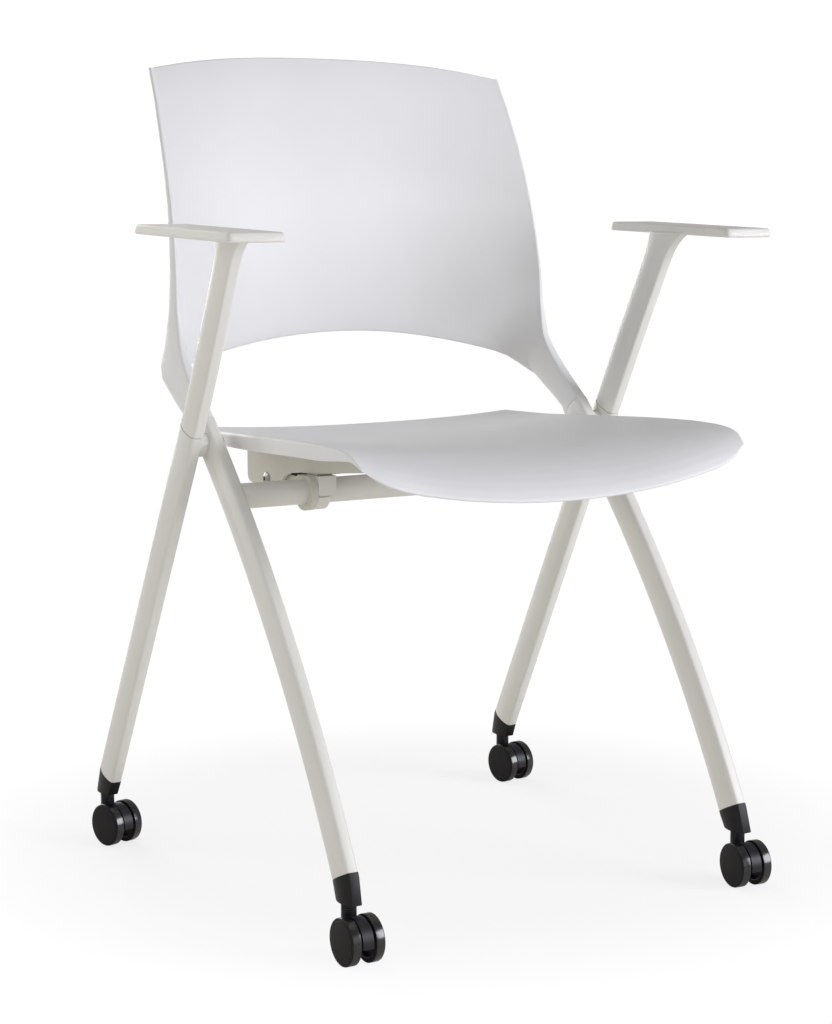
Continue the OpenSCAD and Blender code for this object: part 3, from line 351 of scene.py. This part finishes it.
@dataclass
class Skin:
    """Stands for one solid: the same form with its points merged, and shaded smooth.

    Attributes:
        node: Name of the frame's node.
        body: Body that the skin rides on.
        slot: Material slot of the record.
        smooth_deg: Faces that meet under this angle are shaded as one.
    """

    node: str
    body: str = "frame"
    slot: str = "frame_paint"
    smooth_deg: float = 32.0

    def shape(self, obj: bpy.types.Object) -> None:
        """Keeps the merged copy's form. A piece that needs more shape says how in its own."""

    def finish(self, obj: bpy.types.Object) -> None:
        """Gives the skin the finish of its slot."""
        dress(obj, SLOT_FINISH[self.slot])

    def build(self, frame: Dict[str, Any]) -> bpy.types.Object:
        """Makes the skin and puts it in the node's place.


        Returns:
            The skin.
        """
        mesh = frame["nodes"][self.node].data.copy()
        mesh.name = self.node + "_skin"
        obj = bpy.data.objects.new(self.node + "_skin", mesh)
        bpy.context.scene.collection.objects.link(obj)
        bpy.ops.object.select_all(action="DESELECT")
        obj.select_set(True)
        bpy.context.view_layer.objects.active = obj
        bpy.ops.object.mode_set(mode="EDIT")
        bpy.ops.mesh.select_all(action="SELECT")
        bpy.ops.mesh.customdata_custom_splitnormals_clear()
        bpy.ops.mesh.remove_doubles(threshold=MERGE_MM * MM)
        bpy.ops.mesh.dissolve_limited(angle_limit=math.radians(FLAT_DEG))
        bpy.ops.object.mode_set(mode="OBJECT")
        self.shape(obj)
        bpy.ops.object.shade_smooth_by_angle(angle=math.radians(self.smooth_deg))
        self.finish(obj)
        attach(obj, self.body)
        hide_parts(self.node)
        return obj


@dataclass
class BackShell(Skin):
    """The moulded back shell with its arch and two arms."""

    slot: str = "back_plastic"
    smooth_deg: float = 40.0


@dataclass
class LegTube(Skin):
    """A leg of flat-sided tube, with the ridges of its section rounded.

    Attributes:
        edge_mm: Radius of the rounded ridges and ends.
        edge_deg: Edges sharper than this are rounded.
        edge_segments: Facets across the radius.
    """

    smooth_deg: float = 24.0
    edge_mm: float = 0.4
    edge_deg: float = 40.0
    edge_segments: int = 2

    def shape(self, obj: bpy.types.Object) -> None:
        """Rounds the ridges and ends.

        Args:
            obj: The copy, active and selected.
        """
        apply_modifier(obj, "BEVEL", limit_method="ANGLE", use_clamp_overlap=True,
                       angle_limit=math.radians(self.edge_deg), width=self.edge_mm * MM,
                       segments=self.edge_segments)


@dataclass
class Foot(Skin):
    """A black foot in a leg's end."""

    slot: str = "foot_plastic"
    smooth_deg: float = 26.0


@dataclass
class Armrest(Skin):
    """An armrest whose every edge and inner corner is softened, as a thick moulding's are.

    Attributes:
        cell_mm: Size of the cells that the form is rebuilt from.
        relax: How often the cells are relaxed, which sets the roundness.
        keep_share: Share of the faces that stay after flat parts are thinned out.
        pad_mm: Thickness of the pad at the top, whose corners are rounded more in plan.
        corner_mm: Distance from such a corner over which points are relaxed.
        corner_relax: How often they are relaxed.
    """

    slot: str = "armrest_plastic"
    smooth_deg: float = 70.0
    cell_mm: float = 0.9
    relax: int = 8
    keep_share: float = 0.3
    pad_mm: float = 8.0
    corner_mm: float = 22.0
    corner_relax: int = 110

    def pad_corners(self, obj: bpy.types.Object) -> List[Vector]:
        """Finds the four corners of the pad.

        Args:
            obj: The armrest.

        Returns:
            The corners' places.
        """
        top = max(v.co.z for v in obj.data.vertices)
        pad = [v.co.copy() for v in obj.data.vertices if v.co.z > top - self.pad_mm * MM]
        return [max(pad, key=lambda p: p.x * x + p.y * y) for x in (-1, 1) for y in (-1, 1)]

    def shape(self, obj: bpy.types.Object) -> None:
        """Rebuilds the copy from fine cells, relaxes them and rounds the pad's corners.

        Args:
            obj: The copy, active and selected.
        """
        apply_modifier(obj, "REMESH", mode="VOXEL", voxel_size=self.cell_mm * MM)
        apply_modifier(obj, "SMOOTH", factor=0.5, iterations=self.relax)
        relax_near(obj, self.pad_corners(obj), self.corner_mm, self.corner_relax, in_plan=True)
        apply_modifier(obj, "DECIMATE", ratio=self.keep_share)


@dataclass
class SeatShell(Skin):
    """The moulded seat shell, whose front corners are full and blunt.

    Attributes:
        front_mm: Depth behind the front edge in which the corners' tips lie.
        forward_share: What a step forward counts, against one outward, for a tip.
        reach_mm: Distance from a tip over which points are relaxed.
        relax: How often they are relaxed.
        cuts: Cuts of each edge there beforehand.
        grip_mm: Distance from the relaxed tip up to which points are gripped and pulled out again.
        pull_mm: Distance from it over which points follow.
        fuller_mm: How far the tip is pulled past its first place: outward, along Y and up.
        blunt_mm: Distance from the pulled tip over which points are then relaxed.
        blunt: How often they are relaxed.
    """

    body: str = "seat"
    slot: str = "seat_plastic"
    smooth_deg: float = 40.0
    front_mm: float = 90.0
    forward_share: float = 0.6
    reach_mm: float = 30.0
    relax: int = 40
    cuts: int = 2
    grip_mm: float = 0.1
    pull_mm: float = 80.0
    fuller_mm: Tuple[float, float, float] = (3.6, -3.0, -1.0)
    blunt_mm: float = 17.0
    blunt: int = 130

    def tips(self, obj: bpy.types.Object) -> List[Vector]:
        """Finds the tips of the two front corners.

        Args:
            obj: The shell.

        Returns:
            The tips' places, in the order of SIDES.
        """
        front = min(v.co.y for v in obj.data.vertices)
        near = [v.co.copy() for v in obj.data.vertices if v.co.y < front + self.front_mm * MM]
        return [max(near, key=lambda p: p.x * side - self.forward_share * p.y) for side in SIDES]

    def refine(self, obj: bpy.types.Object, tips: Sequence[Vector]) -> None:
        """Cuts the faces near the tips finer.

        Args:
            obj: The shell, active and selected.
            tips: The tips' places.
        """
        for vertex in obj.data.vertices:
            vertex.select = min((vertex.co - tip).length for tip in tips) < self.reach_mm * MM
        bpy.ops.object.mode_set(mode="EDIT")
        bpy.ops.mesh.select_mode(type="VERT")
        bpy.ops.mesh.quads_convert_to_tris()
        bpy.ops.mesh.subdivide(number_cuts=self.cuts)
        bpy.ops.mesh.select_all(action="DESELECT")
        bpy.ops.object.mode_set(mode="OBJECT")

    def pull(self, obj: bpy.types.Object, tip: Vector, target: Vector) -> None:
        """Pulls a corner out, and what is round it less and less.

        Args:
            obj: The shell, active and selected.
            tip: Place of the corner's tip.
            target: Where it goes.
        """
        for vertex in obj.data.vertices:
            vertex.select = (vertex.co - tip).length < self.grip_mm * MM
        bpy.ops.object.mode_set(mode="EDIT")
        bpy.ops.transform.translate(value=target - tip, use_proportional_edit=True,
                                    proportional_edit_falloff="SMOOTH",
                                    proportional_size=self.pull_mm * MM)
        bpy.ops.mesh.select_all(action="DESELECT")
        bpy.ops.object.mode_set(mode="OBJECT")

    def shape(self, obj: bpy.types.Object) -> None:
        """Relaxes the front corners, pulls them out to their full place and blunts them.

        Args:
            obj: The copy, active and selected.
        """
        first = self.tips(obj)
        self.refine(obj, first)
        relax_near(obj, first, self.reach_mm, self.relax)
        outward, along, up = self.fuller_mm
        for index, side in enumerate(SIDES):
            fuller = Vector((side * outward, along, up)) * MM
            self.pull(obj, self.tips(obj)[index], first[index] + fuller)
        relax_near(obj, self.tips(obj), self.blunt_mm, self.blunt)


@dataclass
class CasterWheel(Skin):
    """A wheel with a dull cover and a polished tread.

    Attributes:
        tread_share: Share of the radius from which faces turned outward belong to the tread.
        tread_lean: How far along the axle such a face may still point.
    """

    slot: str = "wheel_plastic"
    smooth_deg: float = 28.0
    tread_share: float = 0.96
    tread_lean: float = 0.5

    def finish(self, obj: bpy.types.Object) -> None:
        """Gives the cover the finish of the slot, and the tread its own.

        Args:
            obj: The skin.
        """
        super().finish(obj)
        obj.data.materials.append(TREAD_NYLON.material())
        points = np.array([v.co for v in obj.data.vertices])
        middle = (points.min(axis=0) + points.max(axis=0)) / 2
        # The wheel is flat, so its points spread least along the axle
        _, axes = np.linalg.eigh(np.cov((points - middle).T))
        axle = Vector(axes[:, 0])
        radius = max((Vector(p - middle).cross(axle)).length for p in points)
        for face in obj.data.polygons:
            reach = (face.center - Vector(middle)).cross(axle).length
            if reach > self.tread_share * radius and abs(face.normal.dot(axle)) < self.tread_lean:
                face.material_index = 1


@dataclass(frozen=True)
class Softbox:
    """A square softbox that faces the chair and that the camera doesn't see.

    Attributes:
        name: Name of the light.
        place: Its middle, in metres.
        size: Side of the square, in metres.
        watts: Its power.
        tint: Colour of its light.
        aim: Point that it faces, in metres.
    """

    name: str
    place: Tuple[float, float, float]
    size: float
    watts: float
    tint: Tuple[float, float, float]
    aim: Tuple[float, float, float] = (0.0, 0.0, 0.45)

    def hang(self) -> None:
        """Makes the light at its place."""
        data = bpy.data.lights.new(self.name, "AREA")
        data.shape = "SQUARE"
        data.size = self.size
        data.energy = self.watts
        data.color = self.tint
        obj = bpy.data.objects.new(self.name, data)
        obj.visible_camera = False
        obj.location = self.place
        view = Vector(self.aim) - Vector(self.place)
        obj.rotation_euler = view.to_track_quat("-Z", "Y").to_euler()
        bpy.context.scene.collection.objects.link(obj)


SOFTBOXES = (
    Softbox("key", (2.3, -2.6, 1.3), 1.8, 91, (0.905, 0.92, 1.0)),
    Softbox("front", (0.2, -3.3, 1.2), 1.8, 8, (0.99, 1.0, 1.0)),
    Softbox("rear", (0.0, 3.2, 1.4), 1.8, 48, (1.0, 0.99, 0.96)),
    Softbox("left_rear", (-2.4, 2.0, 1.3), 1.8, 19, (1.0, 1.0, 0.97)),
    Softbox("near_left", (-1.3, -0.2, 0.9), 0.8, 1.4, (0.99, 1.0, 0.99)),
    Softbox("overhead", (0.0, -0.3, 2.6), 1.6, 3.6, (1.0, 1.0, 0.99)),
    Softbox("low_left", (-1.2, -0.6, 0.35), 0.7, 1.5, (0.96, 0.98, 1.0)),
)


@dataclass
class Studio:
    """White photo studio: floor, soft lights, world and the camera of the photograph.

    Attributes:
        camera_mm: Place of the camera.
        yaw_deg: Turn of its view from +Y towards +X.
        pitch_deg: Downward tilt of its view.
        focal_px: Focal length in pixels of a picture of picture_px.
        picture_px: Height of that picture.
        sensor_mm: Size of the sensor along that height.
        clip_m: Nearest and furthest that the camera sees.
        fill: Strength of the world's light on the chair.
        fill_tint: Its colour, linear.
        white: Strength of the white that the camera sees of the world.
        floor_m: Side of the floor.
        paper: Colour of the floor's paper, linear.
        glow_tint: Colour of the white that the camera sees of the floor, linear.
        glow: Strength of that white.
        glow_share: Share of that white near the chair, the rest being the lit floor; being below
            one, it paints a broad soft shadow there.
        painted_shadow_at: Middle of the painted shadow on the floor, in metres.
        painted_shadow_m: Distance from there up to which the floor keeps its full painted shadow.
        backdrop_m: Distance from which the floor is plain backdrop.
    """

    camera_mm: Tuple[float, float, float] = (-1202.3, -1927.7, 679.2)
    yaw_deg: float = 31.578
    pitch_deg: float = 7.847
    focal_px: float = 2248.8
    picture_px: int = 1024
    sensor_mm: float = 36.0
    clip_m: Tuple[float, float] = (0.05, 60.0)
    fill: float = 0.29
    fill_tint: Tuple[float, float, float, float] = (1.0, 0.99, 0.96, 1.0)
    white: float = 1.05
    floor_m: float = 40.0
    paper: Tuple[float, float, float, float] = (0.84, 0.81, 0.76, 1.0)
    glow_tint: Tuple[float, float, float, float] = (0.985, 0.985, 1.0, 1.0)
    glow: float = 1.03
    glow_share: float = 0.75
    painted_shadow_at: Tuple[float, float] = (0.06, 0.1)
    painted_shadow_m: float = 0.3
    backdrop_m: float = 0.6

    def camera(self) -> None:
        """Makes the camera at the photograph's place."""
        data = bpy.data.cameras.new("camera")
        data.sensor_width = self.sensor_mm
        data.lens = self.focal_px * self.sensor_mm / self.picture_px
        data.clip_start, data.clip_end = self.clip_m
        obj = bpy.data.objects.new("camera", data)
        obj.location = Vector(self.camera_mm) * MM
        obj.rotation_euler = (math.radians(90 - self.pitch_deg), 0, -math.radians(self.yaw_deg))
        bpy.context.scene.collection.objects.link(obj)
        bpy.context.scene.camera = obj

    def floor(self) -> None:
        """Makes a floor that fades into the white backdrop, with a broad shadow painted round the
        chair over which the chair's own faint shadow shows.
        """
        bpy.ops.object.select_all(action="DESELECT")
        bpy.ops.mesh.primitive_plane_add(size=self.floor_m, location=(0, 0, 0))
        floor = bpy.context.view_layer.objects.active
        floor.name = "floor"
        mat = bpy.data.materials.new("studio_floor")
        tree = empty_tree(mat)
        place = add_node(tree, "ShaderNodeTexCoord").outputs["Object"]
        # Less of the white is mixed in near the chair, which paints a broad soft shadow round it
        reach = add_node(tree, "ShaderNodeVectorMath", {"operation": "DISTANCE"},
                         {1: (*self.painted_shadow_at, 0.0)}, {0: place})
        painted_shadow_fade = add_node(tree, "ShaderNodeMapRange", {"interpolation_type": "SMOOTHSTEP"},
                        {"From Min": self.painted_shadow_m, "From Max": self.backdrop_m,
                         "To Min": self.glow_share, "To Max": 1.0},
                        {"Value": reach.outputs["Value"]})
        path = add_node(tree, "ShaderNodeLightPath")
        share = add_node(tree, "ShaderNodeMath", {"operation": "MULTIPLY"},
                         links={0: path.outputs["Is Camera Ray"], 1: painted_shadow_fade.outputs["Result"]})
        paper = add_node(tree, "ShaderNodeBsdfDiffuse", values={"Color": self.paper})
        glow = add_node(tree, "ShaderNodeEmission",
                        values={"Color": self.glow_tint, "Strength": self.glow})
        mix = add_node(tree, "ShaderNodeMixShader",
                       links={"Fac": share.outputs[0], 1: paper.outputs[0], 2: glow.outputs[0]})
        add_node(tree, "ShaderNodeOutputMaterial", links={"Surface": mix.outputs[0]})
        floor.data.materials.append(mat)

    def world(self) -> None:
        """Makes a world that is white to the camera and a soft warm fill for the chair."""
        world = bpy.data.worlds.new("studio")
        bpy.context.scene.world = world
        tree = empty_tree(world)
        path = add_node(tree, "ShaderNodeLightPath")
        fill = add_node(tree, "ShaderNodeBackground",
                        values={"Color": self.fill_tint, "Strength": self.fill})
        white = add_node(tree, "ShaderNodeBackground",
                         values={"Color": linear_from_hex("#FFFFFF"), "Strength": self.white})
        mix = add_node(tree, "ShaderNodeMixShader",
                       links={"Fac": path.outputs["Is Camera Ray"], 1: fill.outputs[0],
                              2: white.outputs[0]})
        add_node(tree, "ShaderNodeOutputWorld", links={"Surface": mix.outputs[0]})

    def build(self) -> None:
        """Makes the whole studio."""
        bpy.context.scene.view_settings.view_transform = "Standard"
        self.camera()
        self.floor()
        self.world()
        for box in SOFTBOXES:
            box.hang()


def chair_skins() -> List[Skin]:
    """Lists the chair's skins, in the order in which they are built.

    Returns:
        The skins.
    """
    skins: List[Skin] = [BackShell("back_shell"), SeatShell("seat_shell")]
    for side in ("right", "left"):
        skins += [LegTube("front_leg_" + side), LegTube("rear_leg_" + side),
                  Armrest("armrest_" + side), Foot("foot_front_" + side), Foot("foot_rear_" + side)]
    for caster in ("fr", "fl", "rr", "rl"):
        for wheel in ("a", "b"):
            skins.append(CasterWheel("caster_%s_wheel_%s" % (caster, wheel),
                                     "wheel_%s_%s" % (caster, wheel)))
    return skins


def main() -> None:
    """Builds the chair's looks and the studio round it."""
    logging.basicConfig(level=logging.INFO, format="%(name)s: %(message)s")
    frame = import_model()
    skins = chair_skins()
    for skin in skins:
        obj = skin.build(frame)
        LOG.info("%s: %d faces", obj.name, len(obj.data.polygons))
    LOG.info("%d solids dressed as they are", dress_bare_solids(frame, [s.node for s in skins]))
    Studio().build()


if __name__ == "__main__":
    main()
